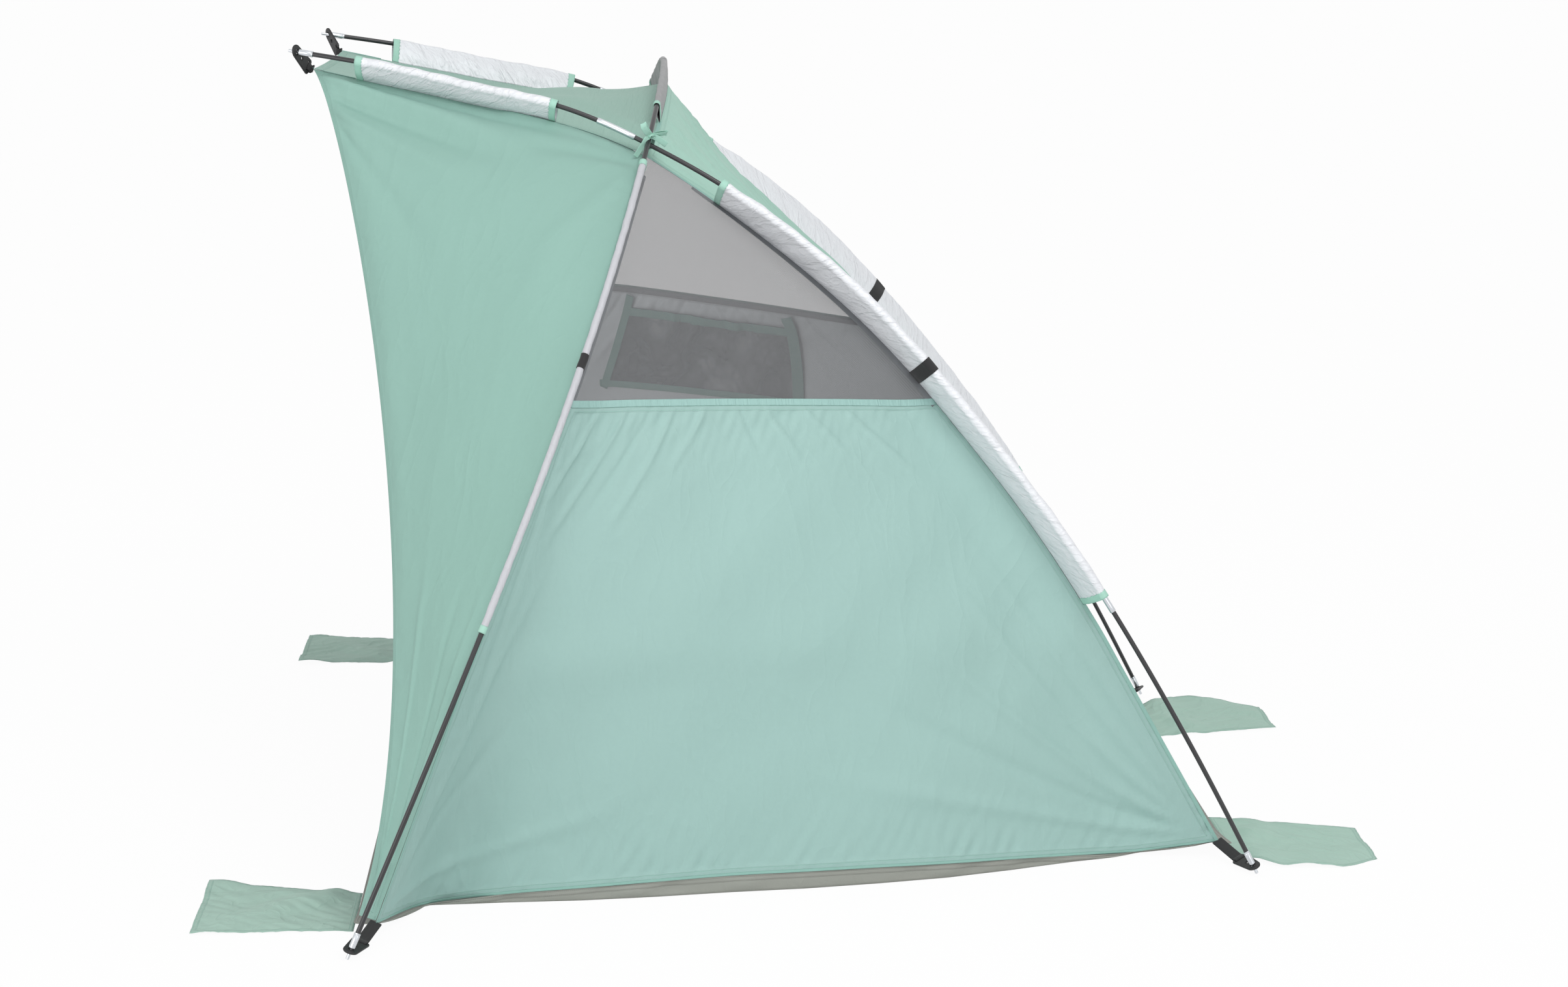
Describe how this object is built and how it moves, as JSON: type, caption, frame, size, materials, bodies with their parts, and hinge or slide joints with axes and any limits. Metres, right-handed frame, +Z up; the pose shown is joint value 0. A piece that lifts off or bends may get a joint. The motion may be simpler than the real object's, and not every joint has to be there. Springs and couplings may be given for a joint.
{
  "type": "beach tent",
  "caption": "Open-fronted beach tent on bent poles with a raised awning, mesh side windows, floor, sand flaps and stepped corner pins in eyed tabs.",
  "frame": {"origin": "on the ground, in the middle of the footprint that the four sand flaps and the front pins span", "axes": "+Z up, the entrance faces -Y, +X is the right side seen from the entrance's outside turned to look along +Y"},
  "size_m": [2.216, 1.9312, 1.3053],
  "materials": {
    "pole": "satin black wrapped fibre rod",
    "steel": "bright plated steel",
    "plastic": "moulded, lightly grained",
    "webbing": "woven webbing",
    "silver_cloth": "silver coated cloth",
    "grey_cloth": "plain woven cloth",
    "mint_cloth": "plain woven cloth, silver coated inside",
    "mesh": "fine see-through mesh",
    "floor_cloth": "coated ground cloth"
  },
  "bodies": {
    "tent": {"awning_corner_tab_left": "plastic", "awning_corner_tab_right": "plastic", "awning_corner_webbing_left": "webbing", "awning_corner_webbing_right": "webbing", "awning_pin_ferrule_left": "steel", "awning_pin_ferrule_right": "steel", "floor": "floor_cloth", "front_corner_tab_left": "plastic", "front_corner_tab_right": "plastic", "front_corner_webbing_left": "webbing", "front_corner_webbing_right": "webbing", "front_ferrule_left": "steel", "front_ferrule_right": "steel", "front_pin_ferrule_left": "steel", "front_pin_ferrule_right": "steel", "front_pole_sleeve_left": "silver_cloth", "front_pole_sleeve_right": "silver_cloth", "hoop_pole_section_1": "pole", "hoop_pole_section_2": "pole", "hoop_pole_section_3": "pole", "hoop_pole_section_4": "pole", "hoop_pole_section_5": "pole", "hoop_pole_section_6": "pole", "hub_tie_left": "mint_cloth", "hub_tie_right": "mint_cloth", "leg_pole_sleeve_left": "grey_cloth", "leg_pole_sleeve_right": "grey_cloth", "mesh_pocket": "mesh", "mesh_window_left": "mesh", "mesh_window_right": "mesh", "rear_corner_tab_left": "plastic", "rear_corner_tab_right": "plastic", "rear_corner_webbing_left": "webbing", "rear_corner_webbing_right": "webbing", "rear_ferrule_left": "steel", "rear_ferrule_right": "steel", "rear_pin_ferrule_left": "steel", "rear_pin_ferrule_right": "steel", "rear_pole_sleeve_left": "silver_cloth", "rear_pole_sleeve_right": "silver_cloth", "rear_wall": "mint_cloth", "ridge_pole_sleeve": "grey_cloth", "roof_awning": "mint_cloth", "side_pole_section_1_left": "pole", "side_pole_section_1_right": "pole", "side_pole_section_2_left": "pole", "side_pole_section_2_right": "pole", "side_pole_section_3_left": "pole", "side_pole_section_3_right": "pole", "side_pole_section_4_left": "pole", "side_pole_section_4_right": "pole", "side_wall_left": "mint_cloth", "side_wall_right": "mint_cloth", "wing_left": "mint_cloth", "wing_right": "mint_cloth"},
    "front_flap_left": {"front_sand_flap_left": "mint_cloth"},
    "front_flap_right": {"front_sand_flap_right": "mint_cloth"},
    "rear_flap_left": {"rear_sand_flap_left": "mint_cloth"},
    "rear_flap_right": {"rear_sand_flap_right": "mint_cloth"}
  },
  "joints": [
    {"name": "front_flap_left_hinge", "type": "hinge", "parent": "tent", "child": "front_flap_left", "pos_m": [-0.8715, -0.72, 0.002], "axis": [-1, 0, 0], "range_deg": [0, 85]},
    {"name": "rear_flap_left_hinge", "type": "hinge", "parent": "tent", "child": "rear_flap_left", "pos_m": [-0.395, 0.72, 0.002], "axis": [1, 0, 0], "range_deg": [0, 85]},
    {"name": "front_flap_right_hinge", "type": "hinge", "parent": "tent", "child": "front_flap_right", "pos_m": [0.8715, -0.72, 0.002], "axis": [-1, 0, 0], "range_deg": [0, 85]},
    {"name": "rear_flap_right_hinge", "type": "hinge", "parent": "tent", "child": "rear_flap_right", "pos_m": [0.395, 0.72, 0.002], "axis": [1, 0, 0], "range_deg": [0, 85]}
  ]
}
